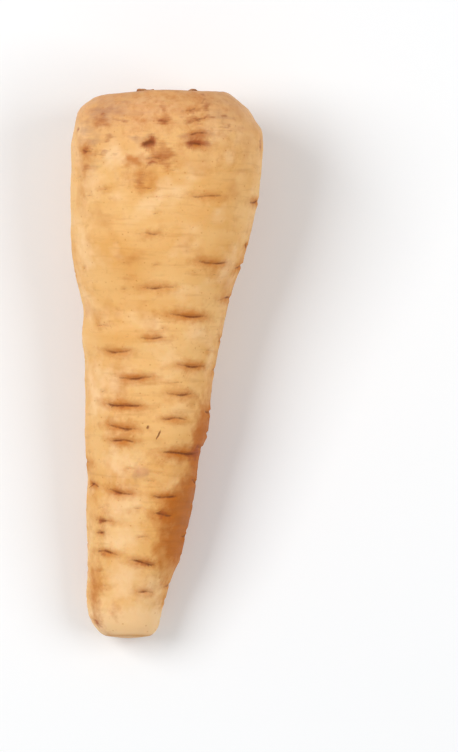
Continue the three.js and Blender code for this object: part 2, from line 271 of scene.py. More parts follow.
def root_point(down, around, share):
    """Points of the root, given how far down and round they are and their shares of the half width."""
    # The section is a little square, leans and has lobes, which all leave its left and right edges in place.
    squareness = -0.022 * np.cos(4 * around) * np.minimum(down / 90, 1)
    lean = 0.02 * np.sin(2 * around + 0.5 + down / 60)
    lobes = 0.014 * np.sin(3 * around + 1.2 - down / 45)
    reach = half_width(down) * share * (1 + (squareness + lean + lobes) * np.sin(around) ** 2)
    across = (smooth(RIGHT_EDGE, down) + smooth(LEFT_EDGE, down)) / 2 + reach * np.cos(around)
    height = smooth(MIDDLE_HEIGHT, down) + DEPTH_SHARE * reach * np.sin(around)
    aside = share * np.cos(around)
    most = np.where(aside < 0, LEFT_SAG, RIGHT_SAG)
    sag = most * np.abs(aside) ** 1.5 * np.clip(1 - down / SHOULDER_DOWN, 0, 1)
    return np.stack(np.broadcast_arrays(across, MIDDLE - down - sag, np.maximum(height, 0)), axis=-1)


def all_furrows(settings):
    """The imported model's furrows, and fine ones between them that only the skin shows."""
    furrows = [(*furrow, FURROW_HALF_WIDTH)[:6] for furrow in FURROWS]
    draw = random_from(SIDE_SEED)
    for line in SIDE_LINES:
        down = SIDE_FIRST + SIDE_PITCH * next(draw)
        while down < SIDE_LAST:
            furrows.append((
                down + between((-SIDE_SCATTER, SIDE_SCATTER), next(draw)),
                line + between((-SIDE_SWING, SIDE_SWING), next(draw)),
                between(SIDE_LENGTH, next(draw)),
                between(SIDE_DEPTH, next(draw)),
                between((-SIDE_SLANT, SIDE_SLANT), next(draw)),
                FURROW_HALF_WIDTH,
            ))
            down += SIDE_PITCH
    draw = random_from(settings.seed)
    for _ in range(settings.fine_furrows):
        down, around = between(FINE_DOWN, next(draw)), 360 * next(draw)
        length, depth = between(FINE_LENGTH, next(draw)), between(FINE_DEPTH, next(draw))
        fine = (down, around, length, depth, next(draw) - 0.5, FINE_HALF_WIDTH)
        arc = half_width(down) * DEGREE
        crowded = any(
            abs(other[0] - down) < FINE_GAP
            and abs((other[1] - around + 180) % 360 - 180) * arc < (other[2] + fine[2]) / 2
            for other in furrows
        )
        if not crowded:
            furrows.append(fine)
    return furrows


def near_furrow(furrow, down, around):
    """How far places are from a furrow's line, and its strength there: 1 at its middle and 0 at its ends."""
    at, degrees, length, _, slant, _ = furrow
    middle = degrees * DEGREE
    turn = (middle - around + math.pi) % (2 * math.pi) - math.pi
    along = turn * half_width(at) * side_share(np.array(float(at)), middle) / (length / 2)
    strength = np.where(np.abs(along) < 1, np.maximum(1 - along * along, 0) ** 1.5, 0)
    return down - at - slant / 2 * along, strength


def side_rows(furrows, columns, rows):
    """How far down each row of each column is. Rows crowd together where a furrow crosses."""
    steps = 1400
    near, far = 1.1, 4.5  # rows crowd this near to a furrow, and thin out this far from it
    most, full_depth = 4, 0.4  # how much they crowd, and the furrow's depth from which they crowd so much
    least = 0.3  # how far they thin out
    down = np.linspace(0, LENGTH, steps + 1)[None, :]
    around = (np.arange(columns) * 2 * math.pi / columns)[:, None]
    reach = half_width(down) * side_share(down, around)
    crowd = np.ones((columns, steps + 1))
    for furrow in furrows:
        off, strength = near_furrow(furrow, down, around)
        amount = most * min(furrow[3] / full_depth, 1)
        crowd += amount * strength * (bell(off / near) - near / far * bell(off / far))
    stride = np.hypot(LENGTH / steps, np.diff(reach, axis=1)) * np.maximum(crowd[:, 1:], least)
    passed = np.concatenate([np.zeros((columns, 1)), np.cumsum(stride, axis=1)], axis=1)
    shares = np.linspace(0, 1, rows + 1)
    return np.array([np.interp(shares * way[-1], way, down[0]) for way in passed])


def wavered(down, around):
    """Moves places about by up to a millimetre, so that the marks on them come out uneven."""
    shift_down, shift_round = (
        sum(height * np.sin(times * around + slope * down + phase) for height, times, slope, phase in waves)
        for waves in (DOWN_WAVES, ROUND_WAVES)
    )
    return down + shift_down, around + shift_round / WAVE_RADIUS


def marks(places, down, around):
    """How strongly some marks colour each place."""
    total = np.zeros(np.broadcast(down, around).shape)
    for at, degrees, wide, long, strength, *climb in places:
        turn = (around - degrees * DEGREE + math.pi) % (2 * math.pi) - math.pi
        to_left = turn * half_width(at)
        off = np.hypot(to_left / (wide / 2), (down - at - sum(climb) * to_left) / (long / 2))
        total = np.maximum(total, strength * bell(off))
    return total


def flank(down, around, blur):
    """How strongly the flank's stain and painted shade colour each place. With a wider blur, the same gives
    the warm zone of painted reflection round it.
    """
    first = FLANK_EDGE[0][0]
    degrees = ((around / DEGREE + 180) % 360) - 180
    inside = smooth(FLANK_EDGE, np.clip(down, first, LENGTH)) - degrees
    edge = np.clip(inside / blur + 0.5, 0, 1)
    full = between((FAINTEST, 1), np.clip(inside / EDGE_FADE_DEGREES, 0, 1))
    under = np.clip((degrees - FLANK_UNDER) / UNDER_FADE, 0, 1)
    start = np.clip((down - first) / START_FADE, 0, 1)
    end = np.clip((FLANK_LAST - down) / END_FADE, 0, 1)
    return edge * full * under * start * end


def mesh_of(name, points, edges, faces, attributes):
    """A mesh from points in millimetres, with a number on each point for each attribute."""
    mesh = bpy.data.meshes.new(name)
    mesh.from_pydata((points * MM).tolist(), edges, faces)
    for key, values in attributes.items():
        stored = mesh.attributes.new(key, "FLOAT", "POINT")
        stored.data.foreach_set("value", np.asarray(values, np.float32))
    return mesh


def shown(name, mesh):
    thing = bpy.data.objects.new(name, mesh)
    bpy.context.scene.collection.objects.link(thing)
    return thing


def bare_root(settings, furrows):
    """The root before its furrows: columns from the hollow's middle over the rim, down and over the tip."""
    columns, hollow_rows, tip_rows = settings.columns, 20, 10
    around = (np.arange(columns) * 2 * math.pi / columns)[:, None]
    side = side_rows(furrows, columns, settings.rows)
    inward = np.linspace(0, RIM_SHARE, hollow_rows + 1)[None, 1:-1]
    hollow = root_point(np.zeros_like(inward), around, inward + 0 * around)
    hollow[..., 1] -= smooth(HOLLOW, inward)
    wall = root_point(side, around, side_share(side, around))
    outward = np.linspace(1, 0, tip_rows + 1)[None, 1:-1]
    tip = root_point(np.full_like(outward, LENGTH), around, TIP_SHARE * outward + 0 * around)
    tip[..., 1] -= TIP_DOME * np.cos(outward * math.pi / 2)
    points = np.concatenate([hollow, wall, tip], axis=1)
    rings = points.shape[1]

    # What each point has for its colour, ring by ring, and at the two poles.
    sides = slice(hollow_rows - 1, hollow_rows + settings.rows)
    down = np.zeros((columns, rings))
    down[:, sides] = side
    down[:, sides.stop :] = LENGTH
    brown, cut, core = np.zeros((columns, rings)), np.zeros((columns, rings)), np.ones((columns, rings))
    to_rim = np.clip((inward - HOLLOW_BROWN) / (RIM_SHARE - HOLLOW_BROWN), 0, 1)
    brown[:, : sides.start] = between((1, RIM_BROWN), to_rim)
    brown[:, sides] = RIM_BROWN * np.clip(1 - side / RIM_REACH, 0, 1)
    cut[:, sides.stop :] = 1
    cut[:, sides] = np.clip((side - LENGTH + CUT_EDGE) / CUT_EDGE, 0, 1)
    core[:, sides.stop :] = outward
    uneven = wavered(down, around)
    stains = [(
        at,
        degrees,
        STAIN_LENGTH * length,
        STAIN_LEAST + STAIN_SPREAD * length,
        min(depth / DARK_DEPTH, 1),
        -slant / length,
    ) for at, degrees, length, depth, slant, _ in furrows]
    rings_of = {
        "hollow": (brown, (1, 0)),
        "crown": (np.clip(1 - down / CROWN_REACH, 0, 1), (1, 0)),
        "cut": (cut, (0, 1)),
        "core": (core, (1, 0)),
        "stain": (marks(stains, down, around), (0, 0)),
        "rust": (marks(RUST_MARKS, *uneven), (0, 0)),
        "nick": (marks(NICK_MARKS, down, around), (0, 0)),
        "dusky": (marks(DUSKY_MARKS, *uneven), (0, 0)),
        "amber": (marks(AMBER_MARKS, *uneven), (0, 0)),
        # Paler skin, and painted highlight down the lower half and over the tip.
        "pale": (marks(PALE_SKIN_AND_HIGHLIGHT_MARKS, *uneven), (0, 0)),
        # The flank's stain and painted shade, and the warm stain and painted reflection round it.
        "flank": (flank(*uneven, FLANK_BLUR), (0, 0)),
        "warm": (flank(down, around, WARM_BLUR), (0, 0)),
    }
    attributes = {key: np.concatenate([values.ravel(), ends]) for key, (values, ends) in rings_of.items()}

    poles = np.array([root_point(np.array(at), 0.0, 0.0) for at in (0.0, float(LENGTH))])
    poles[0, 1] -= HOLLOW[0][1]
    poles[1, 1] -= TIP_DOME

    first = np.arange(columns) * rings
    after = np.roll(first, -1)
    steps = np.arange(rings - 1)[:, None]
    quads = np.stack([first + steps, after + steps, after + steps + 1, first + steps + 1], axis=-1)
    hollow_pole, tip_pole = columns * rings, columns * rings + 1
    faces = quads.reshape(-1, 4).tolist()
    faces += [[hollow_pole, b, a] for a, b in zip(first.tolist(), after.tolist())]
    faces += [[tip_pole, a, b] for a, b in zip((first + rings - 1).tolist(), (after + rings - 1).tolist())]
    return mesh_of("parsnip_skin", np.concatenate([points.reshape(-1, 3), poles]), [], faces, attributes)


def furrow_lines(furrows, seed):
    """The furrows as wavering lines on the bare root, with their depth on each point in metres."""
    draw = random_from(seed)
    points, edges, depths, widths = [], [], [], []
    spacing, fewest = 0.5, 5  # how far apart a line's points are, and how few it has
    for at, degrees, length, depth, slant, width in furrows:
        along = np.linspace(-1, 1, max(int(length / spacing), fewest))
        waver = min(length / 30, 0.4)
        first, second = 6.3 * next(draw), 6.3 * next(draw)
        middle = degrees * DEGREE
        around = middle - along * length / 2 / (half_width(at) * side_share(np.array(float(at)), middle))
        down = at + slant / 2 * along + waver * (np.sin(3 * along + first) + 0.2 * np.sin(8 * along + second))
        uneven = 1 + 0.3 * np.sin(7 * along + second)
        fade = np.clip(np.minimum(down, LENGTH - down) / EDGE_FADE, 0, 1)
        start = len(points)
        points.extend(root_point(down, around, side_share(down, around)))
        depths.extend(depth * MM * (1 - along * along) ** 1.2 * uneven * fade)
        widths.extend([width * MM] * len(along))
        edges.extend((start + i, start + i + 1) for i in range(len(along) - 1))
    mesh = mesh_of("furrow_lines", np.array(points), edges, [], {"depth": depths, "width": widths})
    return shown("furrow_lines", mesh)


def fill(tree, node, inputs):
    """Links or fills a node's inputs, which are given by name or number."""
    for key, value in inputs.items():
        if isinstance(value, bpy.types.Node):
            value = value.outputs[0]
        if isinstance(value, bpy.types.NodeSocket):
            tree.links.new(value, node.inputs[key])
        else:
            node.inputs[key].default_value = value
    return node


def add(tree, kind, inputs=None, **settings):
    """Adds a node, sets it up, and links or fills its inputs."""
    node = tree.nodes.new(kind)
    for name, value in settings.items():
        setattr(node, name, value)
    return fill(tree, node, inputs or {})


def calc(tree, operation, *values):
    """One step of arithmetic."""
    return add(tree, "ShaderNodeMath", dict(enumerate(values)), operation=operation).outputs[0]


def fade(tree, value, ends, results=(0, 1), kind="LINEAR"):
    """Goes from the first result to the second while a value goes from one end to the other."""
    inputs = dict(enumerate((value, *ends, *results)))
    return add(tree, "ShaderNodeMapRange", inputs, interpolation_type=kind).outputs[0]


def noise_of(tree, place, size, detail=2, roughness=0.5):
    """Noise round 0.5. The size of its spots is in what the place is measured in."""
    return add(tree, "ShaderNodeTexNoise", {
        "Vector": place, "Scale": 1 / size, "Detail": detail, "Roughness": roughness,
    }).outputs[0]


def stored(tree, name):
    """The number that each point keeps under a name."""
    if tree.type == "SHADER":
        return add(tree, "ShaderNodeAttribute", attribute_name=name).outputs["Fac"]
    return add(tree, "GeometryNodeInputNamedAttribute", {"Name": name}, data_type="FLOAT").outputs[0]


def mixed(tree, amount, colour, tone):
    """A colour with some of a second one, which is given as red, green and blue."""
    return add(tree, "ShaderNodeMix", {0: amount, 6: colour, 7: (*tone, 1)}, data_type="RGBA").outputs[2]


def millimetres(tree, squeeze=(1, 1, 1)):
    """Where on a piece it is, in millimetres. A pattern runs further the way that this is squeezed."""
    place = add(tree, "ShaderNodeTexCoord").outputs["Object"]
    return add(tree, "ShaderNodeMapping", {"Vector": place, "Scale": [share / MM for share in squeeze]})


# What every tree is given besides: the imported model's box, and the material of what it makes.
SHARED_SOCKETS = {
    "Low Corner": "NodeSocketVector",
    "High Corner": "NodeSocketVector",
    "Material": "NodeSocketMaterial",
}


def new_tree(name, sockets):
    """A Geometry Nodes tree, the sockets that its inputs arrive at, and its inputs' identifiers."""
    tree = bpy.data.node_groups.new(name, "GeometryNodeTree")
    tree.interface.new_socket("Geometry", in_out="OUTPUT", socket_type="NodeSocketGeometry")
    tree.interface.new_socket("Geometry", in_out="INPUT", socket_type="NodeSocketGeometry")
    keys = {}
    for label, kind in {**sockets, **SHARED_SOCKETS}.items():
        keys[label] = tree.interface.new_socket(label, in_out="INPUT", socket_type=kind).identifier
    return tree, tree.nodes.new("NodeGroupInput").outputs, keys


def grown(thing, material, tree, keys, values):
    """Runs a tree on an object and keeps what it makes as the object's plain mesh."""
    modifier = thing.modifiers.new(tree.name, "NODES")
    modifier.node_group = tree
    shared = {"Low Corner": list(CAD_BOX[0]), "High Corner": list(CAD_BOX[1]), "Material": material}
    for label, value in {**values, **shared}.items():
        modifier[keys[label]] = value
    evaluated = thing.evaluated_get(bpy.context.evaluated_depsgraph_get())
    mesh = bpy.data.meshes.new_from_object(evaluated)
    thing.modifiers.clear()
    thing.data = mesh
    mesh.name = thing.name
    mesh.shade_smooth()


def finish_tree(tree, given, geometry):
    """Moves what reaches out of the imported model's box back to its sides, and gives it its material."""
    position = add(tree, "GeometryNodeInputPosition")
    low = add(tree, "ShaderNodeVectorMath", {0: position, 1: given["Low Corner"]}, operation="MAXIMUM")
    held = add(tree, "ShaderNodeVectorMath", {0: low, 1: given["High Corner"]}, operation="MINIMUM")
    boxed = add(tree, "GeometryNodeSetPosition", {"Geometry": geometry, "Position": held})
    real = add(tree, "GeometryNodeRealizeInstances", {"Geometry": boxed})
    done = add(tree, "GeometryNodeSetMaterial", {"Geometry": real, "Material": given["Material"]})
    add(tree, "NodeGroupOutput", {0: done})


def skin_tree():
    """Presses furrows with swollen lips into the root, raises its callus, and roughens the whole skin."""
    tree, given, keys = new_tree("Furrowed skin", {
        "Furrow Lines": "NodeSocketObject",
        "Lip Height": "NodeSocketFloat",
        "Callus": "NodeSocketVector",
        "Callus Radius": "NodeSocketFloat",
        "Callus Height": "NodeSocketFloat",
        "Lump Height": "NodeSocketFloat",
        "Wrinkle Height": "NodeSocketFloat",
    })

    # The nearest furrow, and how many of its half widths away it is.
    position = add(tree, "GeometryNodeInputPosition")
    lines = add(tree, "GeometryNodeObjectInfo", {"Object": given["Furrow Lines"]}).outputs["Geometry"]
    distance = add(tree, "GeometryNodeProximity", {0: lines}, target_element="EDGES").outputs["Distance"]
    nearest = add(tree, "GeometryNodeSampleNearest", {"Geometry": lines}, domain="POINT")
    sample = {"Geometry": lines, "Index": nearest}
    depth, width = (
        add(tree, "GeometryNodeSampleIndex", {**sample, "Value": stored(tree, name)})
        for name in ("depth", "width")
    )
    off = calc(tree, "DIVIDE", distance, width)

    # A furrow's groove is narrow. Its swell is wide and low, so that it shows as a lip on both sides.
    groove = fade(tree, off, (0, GROOVE_REACH), (1, 0), "SMOOTHERSTEP")
    swell = fade(tree, off, (0, LIP_REACH), (given["Lip Height"], 0), "SMOOTHERSTEP")
    profile = calc(tree, "SUBTRACT", swell, groove)
    raised = calc(tree, "MULTIPLY", profile, depth)

    from_callus = add(tree, "ShaderNodeVectorMath", {0: position, 1: given["Callus"]}, operation="DISTANCE")
    callus = fade(tree, from_callus.outputs["Value"], (0, given["Callus Radius"]), (1, 0), "SMOOTHERSTEP")
    raised = calc(tree, "MULTIPLY_ADD", callus, given["Callus Height"], raised)

    # Each line is a height, how much the pattern is squeezed round the root, and its size. Lumps are as long
    # as they are wide. Wrinkles run round the root, five or six times as far as they are wide.
    patterns = (
        ("Lump Height", 1, 13),
        ("Wrinkle Height", 0.16, 2.6),
        ("Wrinkle Height", 0.2, 1.1),
    )
    for height, squeeze, size in patterns:
        place = add(tree, "ShaderNodeVectorMath", {
            0: position, 1: (squeeze, 1, squeeze),
        }, operation="MULTIPLY")
        centred = calc(tree, "SUBTRACT", noise_of(tree, place, size * MM), 0.55)
        raised = calc(tree, "MULTIPLY_ADD", centred, given[height], raised)

    # The cut tip is smoother than the skin.
    kept = calc(tree, "MULTIPLY_ADD", stored(tree, "cut"), -0.8, 1)
    out = calc(tree, "MULTIPLY", raised, kept)
    normal = add(tree, "GeometryNodeInputNormal")
    offset = add(tree, "ShaderNodeVectorMath", {0: normal, "Scale": out}, operation="SCALE")

    # For the colour: a thin crease along each furrow's bottom, darker where it is deep.
    deep = fade(tree, depth, (0, DARK_DEPTH * MM))
    near = fade(tree, off, (0, CREASE_REACH), (1, 0), "SMOOTHSTEP")
    crease = calc(tree, "MULTIPLY", near, deep)
    geometry = given["Geometry"]
    for name, amount in (("crease", crease), ("callus", callus)):
        geometry = add(tree, "GeometryNodeStoreNamedAttribute", {
            "Geometry": geometry, "Name": name, "Value": amount,
        }, data_type="FLOAT", domain="POINT")
    moved = add(tree, "GeometryNodeSetPosition", {"Geometry": geometry, "Offset": offset})
    finish_tree(tree, given, moved)
    return tree, keys


def leaf_base_tree():
    """Bends a box for each point into a crescent wall round the crown's heart, with ribs and a ragged top."""
    tree, given, keys = new_tree("Cut leaf bases", {
        "Crown": "NodeSocketVector",
        "Thickness": "NodeSocketFloat",
        "Foot": "NodeSocketFloat",
        "Worn Ends": "NodeSocketFloat",
        "Rib Height": "NodeSocketFloat",
        "Height Share": "NodeSocketFloat",
    })
    box = add(tree, "GeometryNodeMeshCube", {
        "Size": (2, 2, 2), "Vertices X": 15, "Vertices Y": 9, "Vertices Z": 3,
    })
    copies = add(tree, "GeometryNodeInstanceOnPoints", {"Points": given["Geometry"], "Instance": box})
    boxes = add(tree, "GeometryNodeRealizeInstances", {"Geometry": copies})
    local = add(tree, "ShaderNodeSeparateXYZ", {0: add(tree, "GeometryNodeInputPosition")})
    values = dict(zip(("along", "side", "outward"), local.outputs))
    for name in ("round", "radius", "half_span", "top", "lean", "number"):
        values[name] = stored(tree, name)
    values.update((name, given[name]) for name in ("Thickness", "Foot", "Worn Ends", "Height Share"))

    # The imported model's ragged top: seven heights along the wall, each weighed by how near it is.
    middle = LEAF_STEPS / 2
    place = calc(tree, "MULTIPLY_ADD", values["along"], middle, middle)
    values["torn"] = values["top"]
    for step in range(LEAF_STEPS + 1):
        distance = calc(tree, "ABSOLUTE", calc(tree, "SUBTRACT", place, step))
        share = fade(tree, distance, (0, 1), (1, 0))
        height = stored(tree, f"ragged_{step}")
        values["torn"] = calc(tree, "MULTIPLY_ADD", share, height, values["torn"])

    # Ribs run up the wall, and its top is ragged.
    seat = add(tree, "ShaderNodeCombineXYZ", {0: values["along"], 1: values["number"]})
    for name, size, height in (("rib", 1 / 5, "Rib Height"), ("rag", 1 / 2.4, "Worn Ends")):
        centred = calc(tree, "SUBTRACT", noise_of(tree, seat, size, 4), 0.5)
        values[name] = calc(tree, "MULTIPLY", centred, given[height])

    # Each line is a value, its operation and what goes into it. A wall is thinner and lower at its two ends.
    steps = (
        ("up", "MULTIPLY_ADD", "side", 0.5, 0.5),
        ("worn", "MULTIPLY", "along", "along"),
        ("thin", "MULTIPLY_ADD", "worn", -0.35, 0.5),
        ("half", "MULTIPLY_ADD", "thin", "Thickness", "rib"),
        ("wall", "MULTIPLY_ADD", "outward", "half", "radius"),
        ("reach", "MULTIPLY_ADD", "up", "lean", "wall"),
        ("frayed", "ADD", "torn", "rag"),
        ("drop", "MULTIPLY", "worn", "Worn Ends"),
        ("height", "SUBTRACT", "frayed", "drop"),
        ("rise", "ADD", "height", "Foot"),
        ("raised", "MULTIPLY", "up", "rise"),
        ("y", "SUBTRACT", "raised", "Foot"),
        ("turn", "MULTIPLY", "along", "half_span"),
        ("angle", "SUBTRACT", "round", "turn"),
        ("cosine", "COSINE", "angle"),
        ("sine", "SINE", "angle"),
        ("x", "MULTIPLY", "reach", "cosine"),
        ("circle", "MULTIPLY", "reach", "sine"),
        ("z", "MULTIPLY", "circle", "Height Share"),
        ("aside", "DIVIDE", "x", half_width(0) * MM),
        ("off", "ABSOLUTE", "aside"),
        ("bent", "POWER", "off", 1.5),
        ("is_left", "LESS_THAN", "aside", 0),
        ("sag_here", "MULTIPLY_ADD", "is_left", (LEFT_SAG - RIGHT_SAG) * MM, RIGHT_SAG * MM),
        ("sag", "MULTIPLY", "bent", "sag_here"),
        ("sunk", "SUBTRACT", "y", "sag"),
    )
    for name, operation, *inputs in steps:
        values[name] = calc(tree, operation, *(values.get(key, key) for key in inputs))
    bent = add(tree, "ShaderNodeCombineXYZ", {0: values["x"], 1: values["sunk"], 2: values["z"]})
    placed = add(tree, "ShaderNodeVectorMath", {0: bent, 1: given["Crown"]}, operation="ADD")
    raised = add(tree, "GeometryNodeStoreNamedAttribute", {
        "Geometry": boxes, "Name": "up", "Value": values["up"],
    }, data_type="FLOAT", domain="POINT")
    walls = add(tree, "GeometryNodeSetPosition", {"Geometry": raised, "Position": placed})
    rounded = add(tree, "GeometryNodeSubdivisionSurface", {"Mesh": walls, "Level": 1})
    finish_tree(tree, given, rounded)
    return tree, keys


def rootlet_tree():
    """Grows short bent hairs out of the deepest furrows, where the side roots were washed off."""
    tree, given, keys = new_tree("Broken rootlets", {
        "Density": "NodeSocketFloat",
        "Length": "NodeSocketFloat",
        "Radius": "NodeSocketFloat",
        "Seed": "NodeSocketInt",
    })
    # They grow where the crease is more than about half as dark as it can be.
    deep = add(tree, "FunctionNodeCompare", {0: stored(tree, "crease"), 1: 0.55}, operation="GREATER_THAN")
    spots = add(tree, "GeometryNodeDistributePointsOnFaces", {
        "Mesh": given["Geometry"], "Selection": deep, "Density": given["Density"], "Seed": given["Seed"],
    })
    hair = add(tree, "GeometryNodeCurveQuadraticBezier", {
        "Resolution": 7, "Start": (0, 0, -0.15), "Middle": (0.15, 0.1, 0.3), "End": (0.75, 0.4, 0.35),
    })
    lean = add(tree, "FunctionNodeRandomValue", {
        0: (-0.5, -0.5, -3.1), 1: (0.5, 0.5, 3.1), "Seed": given["Seed"],
    }, data_type="FLOAT_VECTOR")
    turned = add(tree, "FunctionNodeRotateRotation", {
        0: spots.outputs["Rotation"], 1: lean.outputs[0],
    }, rotation_space="LOCAL")
    lengths = add(tree, "FunctionNodeRandomValue", {
        2: 0.35, 3: 1.0, "Seed": given["Seed"],
    }, data_type="FLOAT")
    scale = calc(tree, "MULTIPLY", lengths.outputs[1], given["Length"])
    hairs = add(tree, "GeometryNodeInstanceOnPoints", {
        "Points": spots, "Instance": hair, "Rotation": turned, "Scale": scale,
    })
    real = add(tree, "GeometryNodeRealizeInstances", {"Geometry": hairs})
    taper = calc(tree, "MULTIPLY_ADD", add(tree, "GeometryNodeSplineParameter"), -0.75, 1)
    radius = calc(tree, "MULTIPLY", taper, given["Radius"])
    section = add(tree, "GeometryNodeCurvePrimitiveCircle", {"Resolution": 5, "Radius": 1.0})
    tubes = add(tree, "GeometryNodeCurveToMesh", {
        "Curve": real, "Profile Curve": section, "Scale": radius, "Fill Caps": True,
    })
    finish_tree(tree, given, tubes)
    return tree, keys


def new_material(name):
    material = bpy.data.materials.new(name)
    material.use_nodes = True
    tree = material.node_tree
    return material, tree, tree.nodes["Principled BSDF"]


def washed_skin(colours):
    """Washed parsnip skin: thin cork over pale flesh, which light enters, so that it glows a little."""
    material, tree, shader = new_material("washed_parsnip_skin")
    even = millimetres(tree)
    ringed = millimetres(tree, (0.15, 1, 0.15))

    # Each layer: its coordinates, size, detail, the noise values it fades in between, strength and colour.
    colour = (*colours.cream, 1)
    layers = (
        (even, 26, 2, 0.44, 0.62, 0.7, colours.golden),  # broad golden patches
        (even, 12, 3, 0.52, 0.72, 0.75, colours.pale),  # paler flesh showing through
        (even, 10, 4, 0.54, 0.78, 0.5, colours.amber),  # scattered amber blotches
        (ringed, 5, 3, 0.5, 0.75, 0.5, colours.golden),  # faint growth bands
        (ringed, 1.6, 3, 0.56, 0.78, 0.5, colours.tan),  # thin corky rings
        (even, 1.4, 2, 0.6, 0.8, 0.4, colours.tan),  # fine mottle
    )
    for place, size, detail, low, high, strength, tone in layers:
        amount = fade(tree, noise_of(tree, place, size, detail), (low, high), (0, strength))
        colour = mixed(tree, amount, colour, tone)

    # Each stain: the piece's own attribute, the coordinates and size of the noise that frays it, how far it
    # frays it, the two values it fades in between, strength and colour.
    stains = (
        # Pale marks: paler skin, and painted highlight down the lower half and over the tip.
        ("pale", even, 3, 0.9, 0.15, 0.9, 0.85, colours.pale),
        ("crown", even, 6, 0.9, 0.2, 1.1, 0.4, colours.blush),
        ("crown", ringed, 2.4, 2.4, 0.6, 1.6, 0.5, colours.blush),
        ("crown", even, 2.4, 2.6, 0.75, 1.7, 0.5, colours.amber),
        # The warm zone is partly painted warm reflection; the flank is amber stain and painted shade, with
        # dark rings.
        ("warm", even, 9, 0.6, 0.1, 0.9, 0.8, colours.golden),
        ("amber", even, 3.5, 1.7, 0.15, 1.0, 0.75, colours.amber),
        ("flank", even, 5, 0.9, 0.1, 0.8, 0.95, colours.amber),
        ("flank", ringed, 1.6, 1.6, 0.6, 1.4, 0.4, colours.bark),
        # Dusky smudges, and the painted shade at the left of the pit.
        ("dusky", ringed, 2.4, 1.6, 0.15, 1.1, 0.7, colours.dusk),
        ("callus", even, 1.2, 0.6, 0.3, 0.8, 0.6, colours.blush),
        ("hollow", even, 3, 0.6, 0.1, 0.7, 0.8, colours.bark),
        ("stain", even, 2.5, 0.9, 0.1, 0.95, 0.8, colours.amber),
        ("rust", ringed, 1.3, 1.9, 0.15, 1.05, 0.85, colours.rust),
        ("nick", even, 0.8, 0.3, 0.25, 0.6, 0.9, colours.bark),
        ("crease", even, 0.8, 1.0, 0.15, 0.9, 0.9, colours.bark),
    )
    for name, place, size, fray, low, high, strength, tone in stains:
        held = stored(tree, name)
        centred = calc(tree, "SUBTRACT", noise_of(tree, place, size, 5, 0.62), 0.5)
        frayed = calc(tree, "MULTIPLY_ADD", centred, fray, held)
        amount = fade(tree, frayed, (low, high), (0, strength))
        # None where the piece has none of it, however high the noise is there.
        near = fade(tree, held, (0, 0.15))
        colour = mixed(tree, calc(tree, "MULTIPLY", amount, near), colour, tone)

    # Lenticels: faint brown specks about a third of a millimetre wide, one in three cells of 1.9 mm.
    cells = add(tree, "ShaderNodeTexVoronoi", {"Vector": even, "Scale": 1 / 1.9})
    chosen = calc(tree, "GREATER_THAN", cells.outputs["Color"], 0.6)
    dot = fade(tree, cells.outputs["Distance"], (0.2, 0.06), (0, 0.45))
    colour = mixed(tree, calc(tree, "MULTIPLY", dot, chosen), colour, colours.amber)

    # The cut tip: cream flesh with a yellower core, browned in the air at its rim.
    rings = add(tree, "ShaderNodeValToRGB", {0: stored(tree, "core")})
    ramp = rings.color_ramp.elements
    ramp[0].color = (*colours.golden, 1)
    ramp[1].color = (*colours.tan, 1)
    steps = (
        (0.5, colours.golden),
        (0.56, colours.tan),
        (0.64, colours.pale),
        (0.9, colours.cream),
    )
    for position, tone in steps:
        ramp.new(position).color = (*tone, 1)
    cut = stored(tree, "cut")
    colour = add(tree, "ShaderNodeMix", {0: cut, 6: colour, 7: rings}, data_type="RGBA").outputs[2]

    # A moist sheen, duller where furrows are stained.
    gloss = fade(tree, noise_of(tree, even, 5, 3), (0.3, 0.7), (0.45, 0.62))
    dull = calc(tree, "MULTIPLY_ADD", stored(tree, "stain"), 0.25, gloss)

    # Bump: corky rings about a millimetre apart and pores, a little coarser than real so that they show.
    cork, pores = noise_of(tree, ringed, 0.9, 4), noise_of(tree, even, 0.7, 3)
    grain = calc(tree, "MULTIPLY_ADD", pores, 0.6, cork)
    bump = add(tree, "ShaderNodeBump", {"Height": grain, "Strength": 0.35, "Distance": 0.12 * MM})
    fill(tree, shader, {
        "Base Color": colour, "Roughness": dull, "Normal": bump, "IOR": 1.38, "Specular IOR Level": 0.3,
        "Subsurface Weight": 0.22, "Subsurface Radius": (1.0, 0.45, 0.2), "Subsurface Scale": 3 * MM,
    })
    return material


def dry_leaf_base(colours):
    """Dried leaf base: papery brown fibres up the wall, and a paler fibrous face where the knife cut it."""
    material, tree, shader = new_material("dried_leaf_base")
    noise = noise_of(tree, millimetres(tree, (1, 0.16, 1)), 0.7, 4)
    wall = mixed(tree, fade(tree, noise, (0.35, 0.7)), (*colours.bark, 1), colours.rust)
    colour = mixed(tree, fade(tree, stored(tree, "up"), (0.88, 1), (0, 0.55)), wall, colours.tan)
    bump = add(tree, "ShaderNodeBump", {"Height": noise, "Strength": 0.6, "Distance": 0.2 * MM})
    fill(tree, shader, {"Base Color": colour, "Normal": bump, "Roughness": 0.8})
    return material


def dry_rootlet(colours):
    """Dried rootlet: a dull dark brown hair, a little redder towards some ends."""
    material, tree, shader = new_material("dried_rootlet")
    noise = noise_of(tree, millimetres(tree), 1.5)
    colour = mixed(tree, noise, (*colours.bark, 1), colours.rust)
    fill(tree, shader, {"Base Color": colour, "Roughness": 0.85})
    return material


def plain_floor(colour):
    """Matt painted board: no gloss, with the faintest unevenness of its paint."""
    material, tree, shader = new_material("matt_painted_board")
    place = add(tree, "ShaderNodeTexCoord").outputs["Object"]
    amount = calc(tree, "MULTIPLY", noise_of(tree, place, 25 * MM), 0.05)
    tone = mixed(tree, amount, (*colour, 1), linear("#FFFFFF"))
    fill(tree, shader, {"Base Color": tone, "Roughness": 0.9, "Specular IOR Level": 0.2})
    return material


def colour_property(name, description, default):
    return FloatVectorProperty(
        name=name, description=description, subtype="COLOR", default=linear(default), min=0, max=1
    )


def length_property(name, description, length):
    return FloatProperty(name=name, description=description, default=length * MM, unit="LENGTH")


